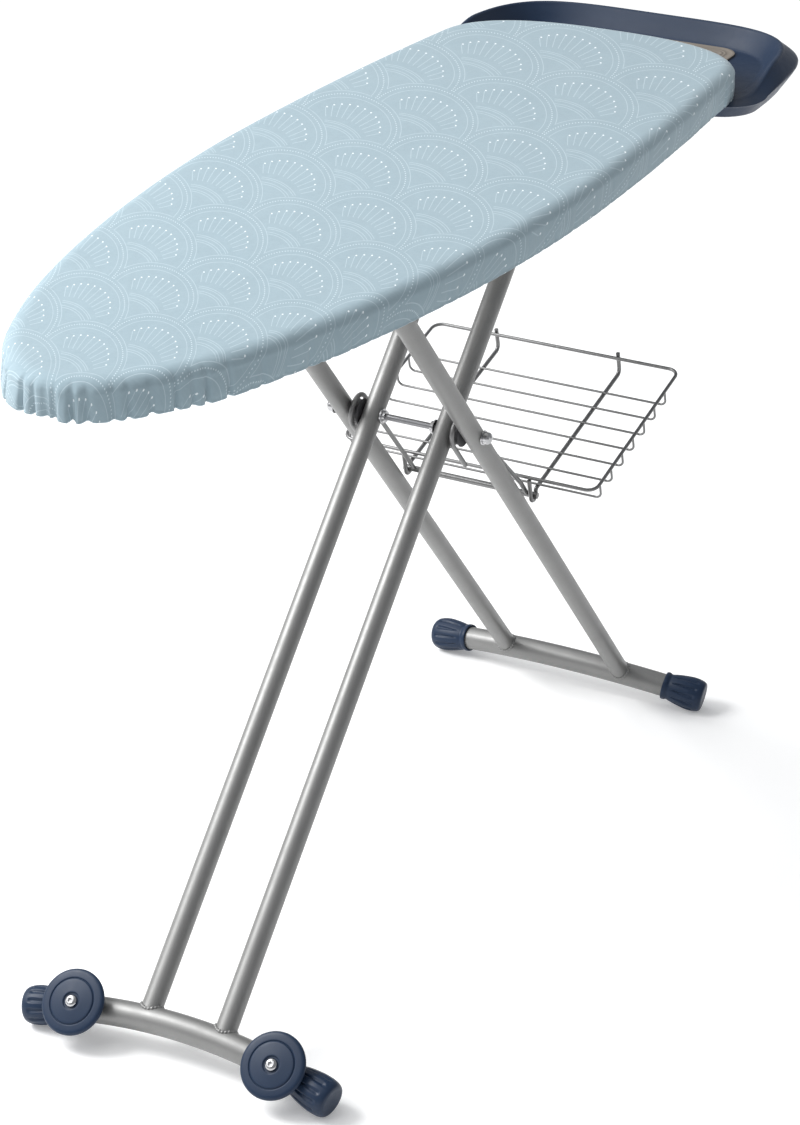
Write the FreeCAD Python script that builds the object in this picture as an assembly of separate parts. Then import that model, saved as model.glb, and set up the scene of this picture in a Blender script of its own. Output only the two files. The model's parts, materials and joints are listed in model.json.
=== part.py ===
"""Folding ironing board with a scissor leg frame, an iron rest and a linen rack.

Frame: +X runs along the board from the nose to the iron rest, +Y across it, +Z up.
The origin is on the floor, midway between the nose and the end of the iron rest.
Each function makes one piece, and the table at the end names the pieces.
"""
import FreeCAD
import Part
import math
import os

V = FreeCAD.Vector

# Board, in millimetres
WORK_HEIGHT = 927.0        # ironing surface above the floor
BOARD_LENGTH = 1346.0      # nose to rear edge
BOARD_WIDTH = 458.0
WIDEST_FROM_REAR = 596.0   # where the board is widest, from its rear edge
NOSE_POWER = 1.75          # outline of the nose: 1 = fully pointed start of the curve
NOSE_ROUND = 2.1
REAR_TAPER = 36.5          # loss of half width towards the rear
REAR_CORNER = 116.0        # length of the rounded rear end
REAR_SQUARE = 2.6          # 2 = ellipse, larger = squarer corners
SKIRT_DEPTH = 40.0
COVER_WALL = 1.2
PAD_THICK = 5.0
MESH_THICK = 1.2
SLOT_LENGTH = 58.0
SLOT_WIDTH = 14.0
SLOT_PITCH_X = 70.0
SLOT_PITCH_Y = 22.0
MESH_BORDER = 22.0
RAIL_WIDTH = 14.0
RAIL_HEIGHT = 18.0
RAIL_WALL = 1.2
RAIL_GAP = 3.0             # between the skirt and the perimeter rail
RIB_WIDTH = 24.0
RIB_WALL = 1.0
RIBS_FROM_REAR = (1180.0, 1010.0, 860.0, 700.0, 510.0, 298.0, 160.0)
RAIL_JOINTS = (0, 1, 3, 5)  # ribs at which the lengths of the perimeter rail meet

# Leg frames
TUBE_R = 12.7
TUBE_WALL = 1.2
AXIS_DROP = 52.0           # both top axes below the ironing surface
PIVOT_FROM_REAR = 586.0    # scissor pivot to the board's rear edge
INNER_ANGLE = 44.93        # from the floor, with the board up
OUTER_ANGLE = 48.87
INNER_UPPER = 406.4        # scissor pivot to the board hinge
INNER_Y = 49.4
LEG_GAP = 13.2             # between an inner and an outer leg, for the hooks on the pivot spacers
TUBE_END = 13.0            # tube beyond its top axis
FOLDED_ANGLE = 10.2        # inner legs, folded

# Foot bars, caps and wheels
BAR_R = 16.0
BAR_WALL = 1.5
FRONT_HALF = 203.0         # to the outer face of the cap
FRONT_ARCH = 28.3
REAR_HALF = 207.0
REAR_ARCH = 25.6
CAP_LENGTH = 58.0
CAP_END_WALL = 7.0
CAP_MOUTH_R = 18.6
CAP_NECK_R = 18.0
CAP_BELLY_R = 23.4
CAP_END_R = 19.5
WHEEL_R = 39.5
WHEEL_Y = 133.0
WHEEL_THICK = 8.0
WHEEL_GAP = 1.2            # between the cap's belly and the wheel's back
WHEEL_DOME = 2.6
WHEEL_AXLE_R = 3.0
COLLAR_R = 5.5              # clear of the mouth of the end cap beside it
WHEEL_HEAD_R = 7.5

# Scissor pivot
ROD_R = 4.0
SPACER_R = 21.0
SPACER_WAIST_R = 17.0
SPACER_FLANGE = 2.0
NUT_R = 7.5
NUT_LENGTH = 11.0
SLEEVE_R = 7.0
SLEEVE_FLANGE_R = 9.5
SLEEVE_LENGTH = 5.5

# Board hinge and height guide
AXLE_R = 5.0
PLATE = 3.0
BRACKET_LENGTH = 40.0
SLIDE_TUBE_R = 9.5
BUSH_R = 12.0
BUSH_WIDTH = 9.0
SLOT_PLAY = 3.2            # above and below the bush, for the arc of the legs
GUIDE_Y = 67.5
GUIDE_BELOW_AXIS = 21.0

# Iron rest
TRAY_BEYOND = 157.0        # past the board's rear edge
TRAY_OVERLAP = 131.0       # under and beside the board's rear end
TRAY_HALF = 222.0          # half width at the rim
TRAY_SQUARE = 3.6
TRAY_RIM_DROP = 17.0       # rim below the ironing surface
TRAY_BULGE = 16.0          # outer wall past the rim
TRAY_BULGE_DROP = 19.0     # widest line below the rim
TRAY_DEPTH = 47.0          # rim to the lower lip
TRAY_FLOOR_DROP = 27.0     # rim to the floor of the tray
TRAY_SLOPE = 22.0          # the floor is this much smaller than the rim all round
TRAY_WALL = 3.0
MAT_HALF = 133.0
MAT_LENGTH = 180.0
MAT_CORNER = 28.0
MAT_THICK = 2.5
SUPPORT_R = 6.0
SUPPORT_WALL = 1.0
SUPPORT_Y = 110.0
SUPPORT_FRONT_FROM_REAR = 320.0
SUPPORT_REACH = 106.0      # past the board's rear edge
SADDLES_FROM_REAR = (298.0, 160.0)
SADDLE_LENGTH = 18.0

# Linen rack
RACK_BAR_R = 4.0
RACK_BAR_HALF = 95.0
RACK_BAR_DOWN = 224.0      # from the scissor pivot along the outer legs
RACK_BAR_BEHIND = 31.0     # behind the middle of the outer legs
RIM_R = 2.25
FLOOR_R = 1.5
RUNNER_R = 2.75
HOOK_R = 3.0
RACK_TILT = 14.4
RACK_DEPTH = 269.3
RACK_HALF = 178.0
RACK_CORNER = 14.0
RACK_SINK = 22.0           # rim to floor wires
RIM_AHEAD = 4.3            # front of the rim, ahead of the bar
RIM_ABOVE = 30.5           # rim above the bar
FLOOR_WIRES = 7
FLOOR_FIRST = 16.6
FLOOR_PITCH = 34.1
RUNNER_Y = 89.0
RUNNER_PLAY = 0.4          # round the bar

# Height release
LEVER_X_FROM_REAR = 500.0
LEVER_PIN_Y = -115.0
LEVER_TIP_Y = -203.0
LEVER_WIDTH = 22.0
LEVER_PIN_R = 3.0
PULL_PIN_R = 2.5
LOCK_WIDTH = 30.0
LOCK_TEETH = 7
LOCK_PITCH = 36.0
TOOTH_DEPTH = 4.0

# Clearances
SEAT = 0.05                # pieces of one body that seat on each other
RUN = 0.08                 # radial, a shaft in its hole
FREE = 0.3                 # pieces that move past each other

# Places that follow from the sizes above
OVERALL = BOARD_LENGTH + TRAY_BEYOND
OUTER_Y = INNER_Y + 2 * TUBE_R + LEG_GAP
NOSE_X = -OVERALL / 2
REAR_X = NOSE_X + BOARD_LENGTH
PIVOT_X = REAR_X - PIVOT_FROM_REAR
AXIS_Z = WORK_HEIGHT - AXIS_DROP
SIN_IN = math.sin(math.radians(INNER_ANGLE))
SIN_OUT = math.sin(math.radians(OUTER_ANGLE))
PIVOT_Z = AXIS_Z - INNER_UPPER * SIN_IN
OUTER_UPPER = INNER_UPPER * SIN_IN / SIN_OUT
HINGE_X = PIVOT_X + INNER_UPPER * math.cos(math.radians(INNER_ANGLE))
SLIDE_X = PIVOT_X - OUTER_UPPER * math.cos(math.radians(OUTER_ANGLE))
FOLDED_OUTER = math.degrees(math.asin(INNER_UPPER / OUTER_UPPER * math.sin(math.radians(FOLDED_ANGLE))))
FOLDED_SLIDE_X = (HINGE_X - INNER_UPPER * math.cos(math.radians(FOLDED_ANGLE))
                  - OUTER_UPPER * math.cos(math.radians(FOLDED_OUTER)))
PAD_TOP = WORK_HEIGHT - COVER_WALL
MESH_TOP = PAD_TOP - PAD_THICK
RAIL_TOP = MESH_TOP - MESH_THICK
RAIL_BOTTOM = RAIL_TOP - RAIL_HEIGHT
SKIRT_BOTTOM = WORK_HEIGHT - SKIRT_DEPTH
TRAY_RIM_Z = WORK_HEIGHT - TRAY_RIM_DROP
TRAY_FLOOR_Z = TRAY_RIM_Z - TRAY_FLOOR_DROP
TRAY_FRONT_X = REAR_X - TRAY_OVERLAP
TRAY_LENGTH = TRAY_OVERLAP + TRAY_BEYOND - TRAY_BULGE
SUPPORT_Z = TRAY_FLOOR_Z - TRAY_WALL - SUPPORT_R
WHEEL_BACK = CAP_BELLY_R + WHEEL_GAP
WHEEL_FACE = WHEEL_BACK + WHEEL_THICK


# Building blocks

def rod(start, end, radius):
    """Round bar between two points."""
    axis = V(*end) - V(*start)
    return Part.makeCylinder(radius, axis.Length, V(*start), axis)


def tube(start, end, radius, wall):
    """Round tube between two points."""
    return rod(start, end, radius).cut(rod(start, end, radius - wall))


def across(x, z, y1, y2, radius):
    """Round bar along Y."""
    return rod((x, min(y1, y2), z), (x, max(y1, y2), z), radius)


def block(low, high):
    """Box between two corners."""
    size = V(*high) - V(*low)
    return Part.makeBox(size.x, size.y, size.z, V(*low))


def turned(profile, base, axis):
    """Solid of revolution: profile holds (distance along the axis, radius) pairs."""
    points = [V(radius, 0, along) for along, radius in profile]
    points = [V(0, 0, profile[0][0])] + points + [V(0, 0, profile[-1][0])]
    face = Part.Face(Part.makePolygon(points + [points[0]]))
    solid = face.revolve(V(0, 0, 0), V(0, 0, 1), 360)
    solid.Placement = FreeCAD.Placement(V(*base), FreeCAD.Rotation(V(0, 0, 1), V(*axis)))
    return solid


def smooth_loop(points):
    """Closed smooth wire through the points."""
    curve = Part.BSplineCurve()
    curve.interpolate(points, PeriodicFlag=True)
    return Part.Wire([curve.toShape()])


def raised(wire, height):
    """Solid of a closed wire pushed up by the height."""
    return Part.Face(wire).extrude(V(0, 0, height))


def bent_wire(points, bends, radius, closed=False):
    """Round wire along straight runs, with a bend of the given radius at each inner point."""
    points = [V(*point) for point in points]
    count = len(points)
    corners = range(count) if closed else range(1, count - 1)
    ends = {}
    for number, corner in enumerate(corners):
        before = (points[corner - 1] - points[corner]).normalize()
        after = (points[(corner + 1) % count] - points[corner]).normalize()
        half = before.getAngle(after) / 2
        reach = bends[number % len(bends)] / math.tan(half)
        middle = (before + after).normalize() * (bends[number % len(bends)] * (1 / math.sin(half) - 1))
        ends[corner] = (points[corner] + before * reach, points[corner] + middle, points[corner] + after * reach)
    edges = []
    for index in range(count if closed else count - 1):
        following = (index + 1) % count
        start = ends[index][2] if index in ends else points[index]
        end = ends[following][0] if following in ends else points[following]
        if (end - start).Length > 1e-6:
            edges.append(Part.LineSegment(start, end).toShape())
        if following in ends:
            edges.append(Part.Arc(*ends[following]).toShape())
    path = Part.Wire(edges)
    first = edges[0]
    profile = Part.Wire([Part.Circle(first.Vertexes[0].Point, first.tangentAt(first.FirstParameter),
                                     radius).toShape()])
    return path.makePipeShell([profile], True, True)


def both_sides(make):
    """Left and right copies of a piece as separate solids of one group."""
    return Part.makeCompound([make(1), make(-1)])


def leaned(shape, angle):
    """Moves a piece from the upright leg frame, with the pivot at zero, to its place."""
    shape = shape.copy()
    shape.rotate(V(0, 0, 0), V(0, 1, 0), angle)
    shape.translate(V(PIVOT_X, 0, PIVOT_Z))
    return shape


def inner(shape):
    """Leans a piece with the inner legs, whose feet point to the nose."""
    return leaned(shape, 90 - INNER_ANGLE)


def outer(shape):
    """Leans a piece with the outer legs, whose feet point to the rear."""
    return leaned(shape, OUTER_ANGLE - 90)


# Board

def half_width(x):
    """Half width of the board at a place along it."""
    widest = REAR_X - WIDEST_FROM_REAR
    half = BOARD_WIDTH / 2
    if x < widest:
        share = min(1.0, (widest - x) / (widest - NOSE_X))
        return half * (1 - share ** NOSE_POWER) ** (1 / NOSE_ROUND)
    width = half - REAR_TAPER * ((x - widest) / WIDEST_FROM_REAR) ** 2
    share = min(1.0, max(0.0, (x - REAR_X + REAR_CORNER) / REAR_CORNER))
    return width * (1 - share ** REAR_SQUARE) ** (1 / REAR_SQUARE)


def outline(inset, z):
    """Smooth closed outline of the board, moved inwards by the inset."""
    widest = REAR_X - WIDEST_FROM_REAR
    steps = 16
    xs = [widest - (widest - NOSE_X) * math.sin(math.pi / 2 * i / steps) for i in range(steps, 0, -1)]
    straight = REAR_X - REAR_CORNER - widest
    xs += [widest + straight * i / 5 for i in range(5)]
    xs += [REAR_X - REAR_CORNER + REAR_CORNER * math.sin(math.pi / 2 * i / 12) for i in range(13)]
    side = [(x, half_width(x)) for x in xs]
    points = side + [(x, -y) for x, y in reversed(side[1:-1])]
    moved = []
    for index, (x, y) in enumerate(points):
        ahead = points[(index + 1) % len(points)]
        behind = points[index - 1]
        run = math.hypot(ahead[0] - behind[0], ahead[1] - behind[1])
        moved.append(V(x + inset * (ahead[1] - behind[1]) / run, y - inset * (ahead[0] - behind[0]) / run, z))
    return smooth_loop(moved)


def cover():
    outside = raised(outline(0, SKIRT_BOTTOM), SKIRT_DEPTH)
    return outside.cut(raised(outline(COVER_WALL, SKIRT_BOTTOM - 1), SKIRT_DEPTH + 1 - COVER_WALL))


def underlay():
    return raised(outline(COVER_WALL + SEAT, MESH_TOP), PAD_THICK)


def mesh_top():
    """Slotted steel top, with a plain border and offset rows of steam slots."""
    plate = Part.Face(outline(RAIL_GAP, RAIL_TOP))
    border = Part.Face(outline(RAIL_GAP + MESH_BORDER, RAIL_TOP))
    slots = []
    row_count = int(BOARD_WIDTH / 2 / SLOT_PITCH_Y)
    column_count = int(BOARD_LENGTH / SLOT_PITCH_X) + 1
    for row in range(-row_count, row_count + 1):
        shift = SLOT_PITCH_X / 2 * (row % 2)
        for column in range(column_count):
            x = NOSE_X + shift + column * SLOT_PITCH_X
            y = row * SLOT_PITCH_Y - SLOT_WIDTH / 2
            slots.append(Part.makePlane(SLOT_LENGTH, SLOT_WIDTH, V(x, y, RAIL_TOP)))
    openings = border.common(Part.makeCompound(slots))
    return plate.cut(openings).extrude(V(0, 0, MESH_THICK))


def perimeter_rail():
    """Hollow square tube round the board, under the steel top, in lengths that meet at some of the ribs."""
    outside = raised(outline(RAIL_GAP, RAIL_BOTTOM), RAIL_HEIGHT)
    outside = outside.cut(raised(outline(RAIL_GAP + RAIL_WIDTH, RAIL_BOTTOM - 1), RAIL_HEIGHT + 2))
    hollow = raised(outline(RAIL_GAP + RAIL_WALL, RAIL_BOTTOM + RAIL_WALL), RAIL_HEIGHT - 2 * RAIL_WALL)
    core = raised(outline(RAIL_GAP + RAIL_WIDTH - RAIL_WALL, RAIL_BOTTOM), RAIL_HEIGHT)
    rail = outside.cut(hollow.cut(core))
    joints = [NOSE_X - 1] + [REAR_X - RIBS_FROM_REAR[index] for index in RAIL_JOINTS] + [REAR_X + 1]
    lengths = []
    for start, end in zip(joints, joints[1:]):
        zone = block((start, -BOARD_WIDTH, RAIL_BOTTOM - 1), (end, BOARD_WIDTH, RAIL_TOP + 1))
        lengths += rail.common(zone).Solids
    return Part.makeCompound(lengths)


def rib(from_rear):
    """Cross channel between the two sides of the perimeter rail, open at the top."""
    x = REAR_X - from_rear
    half = BOARD_WIDTH
    bar = block((x - RIB_WIDTH / 2, -half, RAIL_BOTTOM), (x + RIB_WIDTH / 2, half, RAIL_TOP))
    bar = bar.cut(block((x - RIB_WIDTH / 2 + RIB_WALL, -half, RAIL_BOTTOM + RIB_WALL),
                        (x + RIB_WIDTH / 2 - RIB_WALL, half, RAIL_TOP + 1)))
    return bar.common(raised(outline(RAIL_GAP + RAIL_WIDTH + SEAT, RAIL_BOTTOM - 1), RAIL_HEIGHT + 2))


# Board hinge and height guide

def hinge_bracket(side):
    """Two cheeks on a base, one each side of an inner leg."""
    near = INNER_Y - TUBE_R - 2 * FREE - PLATE
    far = INNER_Y + TUBE_R + 2 * FREE + PLATE
    half = BRACKET_LENGTH / 2
    top = RAIL_BOTTOM
    bracket = block((HINGE_X - half, near, AXIS_Z - half * 0.7), (HINGE_X + half, far, top))
    bracket = bracket.cut(block((HINGE_X - half - 1, near + PLATE, AXIS_Z - half),
                                (HINGE_X + half + 1, far - PLATE, top - PLATE)))
    bracket = bracket.cut(across(HINGE_X, AXIS_Z, near - 1, far + 1, AXLE_R + SEAT))
    if side < 0:
        bracket = bracket.mirror(V(0, 0, 0), V(0, 1, 0))
    return bracket


def axle_half():
    return INNER_Y + TUBE_R + 2 * FREE + PLATE


def hinge_axle():
    return across(HINGE_X, AXIS_Z, -axle_half() - 3, axle_half() + 3, AXLE_R)


def axle_caps():
    def cap(side):
        profile = [(0, AXLE_R + 3.5), (4.5, AXLE_R + 3.5), (6.5, AXLE_R + 1.5)]
        solid = turned(profile, (HINGE_X, side * (axle_half() + SEAT), AXIS_Z), (0, side, 0))
        return solid.cut(across(HINGE_X, AXIS_Z, 0, side * (axle_half() + 3.05), AXLE_R + SEAT))
    return both_sides(cap)


def guide_rail(side):
    """Slotted plate that carries one end of the sliding cross tube."""
    slot_half = BUSH_R + SLOT_PLAY
    front = FOLDED_SLIDE_X - slot_half - 12
    rear = SLIDE_X + slot_half + 12
    y1 = GUIDE_Y - PLATE / 2
    plate = block((front, y1, AXIS_Z - GUIDE_BELOW_AXIS), (rear, y1 + PLATE, RAIL_BOTTOM))
    flange = block((front, y1, RAIL_BOTTOM - PLATE), (rear, y1 + 12, RAIL_BOTTOM))
    slot = block((FOLDED_SLIDE_X - BUSH_R - 2, y1 - 1, AXIS_Z - slot_half),
                 (SLIDE_X + BUSH_R + FREE, y1 + PLATE + 1, AXIS_Z + slot_half))
    rail = plate.fuse(flange).removeSplitter().cut(slot)
    if side < 0:
        rail = rail.mirror(V(0, 0, 0), V(0, 1, 0))
    return rail


# Legs, built upright with the scissor pivot at zero

def foot_radius(half, arch):
    return (half ** 2 + arch ** 2) / (2 * arch)


def foot_lengths(half, arch):
    """Angle from the middle of the foot bar to its cap's middle and to the bar's end."""
    radius = foot_radius(half, arch)
    end = math.asin(half / radius)
    return radius, end - CAP_LENGTH / 2 / radius, end - CAP_END_WALL / radius


def curved_bar(radius, angle, outside, drop):
    """Part of a ring about X, its top at minus the drop."""
    centre = V(0, 0, -drop - radius)
    face = Part.Face(Part.Wire([Part.Circle(V(0, 0, -drop), V(0, 1, 0), outside).toShape()]))
    face.rotate(centre, V(1, 0, 0), -math.degrees(angle))
    return face.revolve(centre, V(1, 0, 0), 2 * math.degrees(angle))


def foot_bar(half, arch, drop):
    radius, _, end = foot_lengths(half, arch)
    return curved_bar(radius, end, BAR_R, drop).cut(curved_bar(radius, end + 0.01, BAR_R - BAR_WALL, drop))


def foot_cap(side, half, arch, drop):
    """Barrel-shaped cap with a socket for the end of the foot bar."""
    radius, middle, end = foot_lengths(half, arch)
    length = CAP_LENGTH
    profile = [(0, CAP_MOUTH_R), (5, CAP_MOUTH_R), (8, CAP_NECK_R), (18, CAP_NECK_R + 2.4),
               (30, CAP_BELLY_R - 0.9), (40, CAP_BELLY_R), (48, CAP_BELLY_R - 0.5),
               (length - 4, CAP_END_R + 2), (length, CAP_END_R - 1)]
    cap = turned(profile, (0, -length / 2, 0), (0, 1, 0))
    cap.translate(V(0, 0, -drop))
    cap.rotate(V(0, 0, -drop - radius), V(1, 0, 0), -math.degrees(middle))
    cap = cap.cut(curved_bar(radius, end + SEAT / radius, BAR_R + SEAT, drop))
    if side < 0:
        cap = cap.mirror(V(0, 0, 0), V(0, 1, 0))
    return cap


def leg_reach(half, arch, lean):
    """Pivot to foot bar along the leg, so that the caps stand on the floor."""
    cap = lean(foot_cap(1, half, arch, 0))
    down = math.sin(math.radians(INNER_ANGLE if lean is inner else OUTER_ANGLE))
    return cap.optimalBoundingBox(False).ZMin / down


INNER_LOWER = leg_reach(FRONT_HALF, FRONT_ARCH, inner)
OUTER_LOWER = leg_reach(REAR_HALF, REAR_ARCH, outer)


def leg_tube(y, upper, lower, half, arch, top_hole):
    """Hollow leg, holed at its axes and coped to sit on the foot bar."""
    leg = rod((0, y, -lower), (0, y, upper + TUBE_END), TUBE_R)
    leg = leg.cut(rod((0, y, -lower - 1), (0, y, upper + TUBE_END + 1), TUBE_R - TUBE_WALL))
    radius, _, end = foot_lengths(half, arch)
    leg = leg.cut(curved_bar(radius, end, BAR_R + SEAT, lower))
    leg = leg.cut(across(0, 0, y - 20, y + 20, ROD_R + RUN))
    if top_hole:
        leg = leg.cut(across(0, upper, y - 20, y + 20, top_hole))
    return leg


def inner_tube(side):
    return inner(leg_tube(side * INNER_Y, INNER_UPPER, INNER_LOWER, FRONT_HALF, FRONT_ARCH, AXLE_R + RUN))


def outer_tube(side):
    return outer(leg_tube(side * OUTER_Y, OUTER_UPPER, OUTER_LOWER, REAR_HALF, REAR_ARCH, 0))


def front_cap(side):
    return inner(foot_cap(side, FRONT_HALF, FRONT_ARCH, INNER_LOWER))


def rear_cap(side):
    return outer(foot_cap(side, REAR_HALF, REAR_ARCH, OUTER_LOWER))


def tube_plugs(y, upper, lean):
    """Plastic plugs that close the tops of two leg tubes."""
    def plug(side):
        profile = [(-6, TUBE_R - TUBE_WALL - SEAT), (0, TUBE_R - TUBE_WALL - SEAT),
                   (0, TUBE_R), (1.2, TUBE_R - 0.4), (2, TUBE_R - 2)]
        hollow = turned(profile, (0, side * y, upper + TUBE_END + SEAT), (0, 0, 1))
        return lean(hollow)
    return both_sides(plug)


def front_bar():
    bar = foot_bar(FRONT_HALF, FRONT_ARCH, INNER_LOWER)
    for side in (1, -1):
        x, y, z = wheel_seat(side, 0)
        bar = bar.cut(rod((x, y, z), (x - BAR_R - 2, y, z), WHEEL_AXLE_R + SEAT))
    return inner(bar)


def rear_bar():
    return outer(foot_bar(REAR_HALF, REAR_ARCH, OUTER_LOWER))


# Wheels, on the nose side of the front foot bar

def wheel_seat(side, out):
    """Place on the wheel's axis, at a distance out from the middle of the foot bar."""
    radius = foot_radius(FRONT_HALF, FRONT_ARCH)
    drop = radius - math.sqrt(radius ** 2 - WHEEL_Y ** 2)
    return (-out, side * WHEEL_Y, -INNER_LOWER - drop)


def wheel(side):
    profile = [(0, WHEEL_R - 3), (1.5, WHEEL_R - 0.8), (4, WHEEL_R), (6.5, WHEEL_R - 0.8),
               (WHEEL_THICK, WHEEL_R - 3), (WHEEL_THICK + 0.3, WHEEL_R * 0.7),
               (WHEEL_THICK + WHEEL_DOME, WHEEL_HEAD_R + 3), (WHEEL_THICK + WHEEL_DOME - 1.5, WHEEL_HEAD_R + 1)]
    disc = turned(profile, wheel_seat(side, WHEEL_BACK), (-1, 0, 0))
    start = wheel_seat(side, WHEEL_BACK - 2)
    end = wheel_seat(side, WHEEL_FACE + 6)
    return inner(disc.cut(rod(start, end, WHEEL_AXLE_R + RUN)))


def wheel_screw(side):
    """Shouldered screw with a domed head; its shank is the wheel's axle."""
    face = WHEEL_FACE + WHEEL_DOME - 1.5 + FREE
    shank = rod(wheel_seat(side, BAR_R - BAR_WALL - 6), wheel_seat(side, face), WHEEL_AXLE_R)
    head = turned([(0, WHEEL_HEAD_R), (1.5, WHEEL_HEAD_R), (3.6, WHEEL_HEAD_R * 0.75), (4.6, WHEEL_HEAD_R * 0.35)],
                  wheel_seat(side, face), (-1, 0, 0))
    return inner(shank.fuse(head).removeSplitter())


def wheel_spacers():
    """Collars between the foot bar and the wheels."""
    def collar(side):
        ring = rod(wheel_seat(side, 0), wheel_seat(side, WHEEL_BACK - FREE), COLLAR_R)
        ring = ring.cut(rod(wheel_seat(side, -1), wheel_seat(side, WHEEL_BACK + 1), WHEEL_AXLE_R + SEAT))
        radius, _, end = foot_lengths(FRONT_HALF, FRONT_ARCH)
        return inner(ring.cut(curved_bar(radius, end, BAR_R + SEAT, INNER_LOWER)))
    return both_sides(collar)


# Scissor pivot, carried by the outer legs

def pivot_rod():
    half = OUTER_Y + TUBE_R + NUT_LENGTH - 3
    return across(PIVOT_X, PIVOT_Z, -half, half, ROD_R)


def pivot_spacers():
    def spacer(side):
        start = INNER_Y + TUBE_R + FREE
        length = OUTER_Y - TUBE_R - SEAT - start
        flange = SPACER_FLANGE
        groove = flange + 1.2
        profile = [(0, SPACER_R), (flange, SPACER_R), (groove, SPACER_WAIST_R), (length - groove, SPACER_WAIST_R),
                   (length - flange, SPACER_R), (length, SPACER_R)]
        solid = turned(profile, (PIVOT_X, side * start, PIVOT_Z), (0, side, 0))
        return solid.cut(across(PIVOT_X, PIVOT_Z, 0, side * OUTER_Y, ROD_R + SEAT))
    return both_sides(spacer)


def pivot_nuts():
    def nut(side):
        start = OUTER_Y + TUBE_R + SEAT
        profile = [(0, NUT_R + 1.5), (1.5, NUT_R + 1.5), (1.5, NUT_R), (7, NUT_R), (9.5, NUT_R * 0.75),
                   (NUT_LENGTH, NUT_R * 0.3)]
        solid = turned(profile, (PIVOT_X, side * start, PIVOT_Z), (0, side, 0))
        bore = across(PIVOT_X, PIVOT_Z, 0, side * (OUTER_Y + TUBE_R + NUT_LENGTH - 3 + SEAT), ROD_R + SEAT)
        return solid.cut(bore)
    return both_sides(nut)


def pivot_sleeves():
    def sleeve(side):
        start = INNER_Y - TUBE_R - FREE
        profile = [(0, SLEEVE_FLANGE_R), (1.6, SLEEVE_FLANGE_R), (1.6, SLEEVE_R), (SLEEVE_LENGTH, SLEEVE_R)]
        solid = turned(profile, (PIVOT_X, side * start, PIVOT_Z), (0, -side, 0))
        return solid.cut(across(PIVOT_X, PIVOT_Z, 0, side * OUTER_Y, ROD_R + SEAT))
    return both_sides(sleeve)


def slide_tube():
    bar = tube((0, -OUTER_Y, OUTER_UPPER), (0, OUTER_Y, OUTER_UPPER), SLIDE_TUBE_R, TUBE_WALL)
    for side in (1, -1):
        y = side * OUTER_Y
        bar = bar.cut(rod((0, y, 0), (0, y, OUTER_UPPER + 50), TUBE_R + SEAT))
    return outer(bar)


def slide_bush(side):
    """Plastic ring on the sliding cross tube, in the slot of the guide rail."""
    y = side * GUIDE_Y
    ring = across(0, OUTER_UPPER, y - BUSH_WIDTH / 2, y + BUSH_WIDTH / 2, BUSH_R)
    return outer(ring.cut(across(0, OUTER_UPPER, y - BUSH_WIDTH, y + BUSH_WIDTH, SLIDE_TUBE_R + SEAT)))


# Iron rest

def tray_outline(grow, z, front=0.0):
    """U-shaped outline with its straight side under the board."""
    length = TRAY_LENGTH + grow
    half = TRAY_HALF + grow
    points = []
    steps = 24
    for index in range(steps + 1):
        angle = math.pi * index / steps - math.pi / 2
        bend_x = abs(math.cos(angle)) ** (2 / TRAY_SQUARE)
        bend_y = math.copysign(abs(math.sin(angle)) ** (2 / TRAY_SQUARE), angle)
        points.append(V(TRAY_FRONT_X + length * bend_x, half * bend_y, z))
    curve = Part.BSplineCurve()
    curve.interpolate(points)
    first, last = points[0], points[-1]
    corners = [last, V(last.x - front, last.y, z), V(first.x - front, first.y, z), first]
    if front == 0:
        corners = [last, first]
    return Part.Wire([curve.toShape()] + Part.makePolygon(corners).Edges)


def tray():
    rim = TRAY_RIM_Z
    wide = rim - TRAY_BULGE_DROP
    lip = rim - TRAY_DEPTH
    body = Part.makeLoft([tray_outline(-2, lip), tray_outline(TRAY_BULGE, wide)], True, True)
    body = body.fuse(Part.makeLoft([tray_outline(TRAY_BULGE, wide), tray_outline(0, rim)], True, True))
    bowl = Part.makeLoft([tray_outline(-TRAY_SLOPE, TRAY_FLOOR_Z, 20), tray_outline(-4, rim + 0.5, 20)], True, True)
    under = Part.makeLoft([tray_outline(-TRAY_SLOPE, lip - 1, 20),
                           tray_outline(-TRAY_SLOPE, TRAY_FLOOR_Z - TRAY_WALL, 20)], True, True)
    return body.removeSplitter().cut(bowl).cut(under)


def tray_mat():
    """Soft mat on the floor of the tray."""
    rear = TRAY_FRONT_X + TRAY_LENGTH - TRAY_SLOPE - 8
    mat = block((rear - MAT_LENGTH, -MAT_HALF, TRAY_FLOOR_Z), (rear, MAT_HALF, TRAY_FLOOR_Z + MAT_THICK))
    upright = [edge for edge in mat.Edges if abs(edge.tangentAt(edge.FirstParameter).z) > 0.9]
    return mat.makeFillet(MAT_CORNER, upright)


def tray_support(side):
    y = side * SUPPORT_Y
    return tube((REAR_X - SUPPORT_FRONT_FROM_REAR, y, SUPPORT_Z), (REAR_X + SUPPORT_REACH, y, SUPPORT_Z),
                SUPPORT_R, SUPPORT_WALL)


def tray_saddles():
    """Blocks that clamp the support tubes under two of the ribs."""
    solids = []
    for from_rear in SADDLES_FROM_REAR:
        x = REAR_X - from_rear
        for side in (1, -1):
            y = side * SUPPORT_Y
            half = SADDLE_LENGTH / 2
            saddle = block((x - half, y - half, SUPPORT_Z - 4), (x + half, y + half, RAIL_BOTTOM))
            solids.append(saddle.cut(rod((x - 20, y, SUPPORT_Z), (x + 20, y, SUPPORT_Z), SUPPORT_R + SEAT)))
    return Part.makeCompound(solids)


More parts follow.
